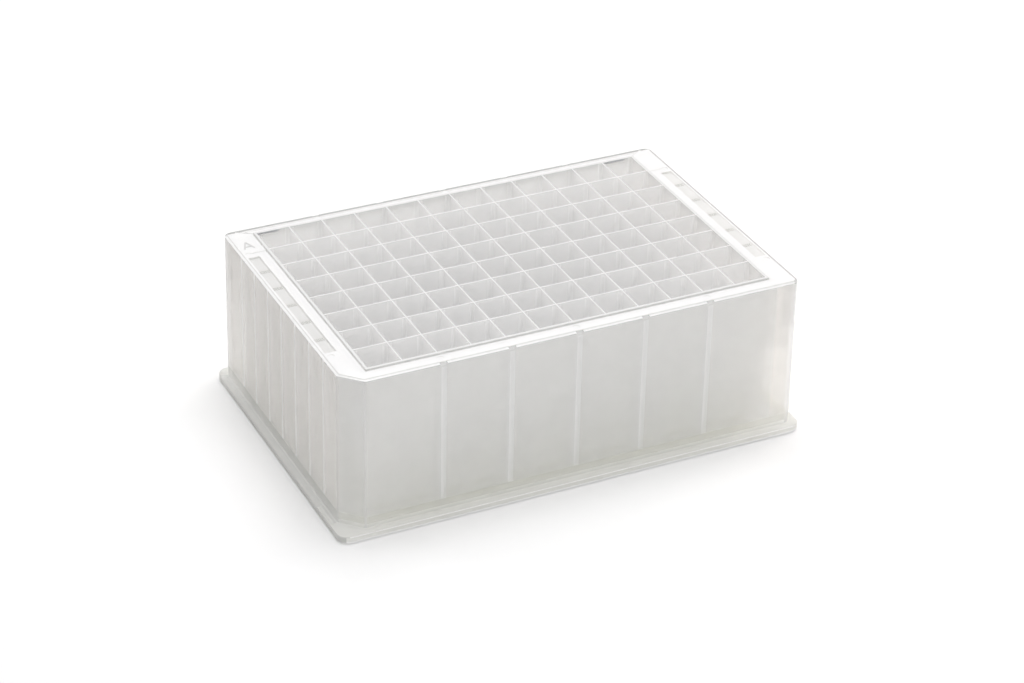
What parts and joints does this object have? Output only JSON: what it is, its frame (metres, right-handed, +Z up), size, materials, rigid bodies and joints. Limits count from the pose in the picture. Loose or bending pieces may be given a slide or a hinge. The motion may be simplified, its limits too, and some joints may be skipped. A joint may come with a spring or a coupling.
{
  "type": "deep-well plate",
  "caption": "Tall rectangular microplate: a grid of deep square wells with pointed bottoms inside a translucent skirt that stands on a stepped base flange, with one corner cut off.",
  "frame": {"origin": "centre of the base flange's footprint, at table level", "axes": "+X along the long side, from well column 1 to column 12; +Y along the short side, from row H to row A; +Z up. The cut-off corner is at -X -Y."},
  "size_m": [0.1278, 0.0854, 0.044],
  "materials": {
    "natural_polypropylene": "satin, milky translucent"
  },
  "bodies": {
    "root": {"well_plate": "natural_polypropylene"}
  },
  "joints": []
}
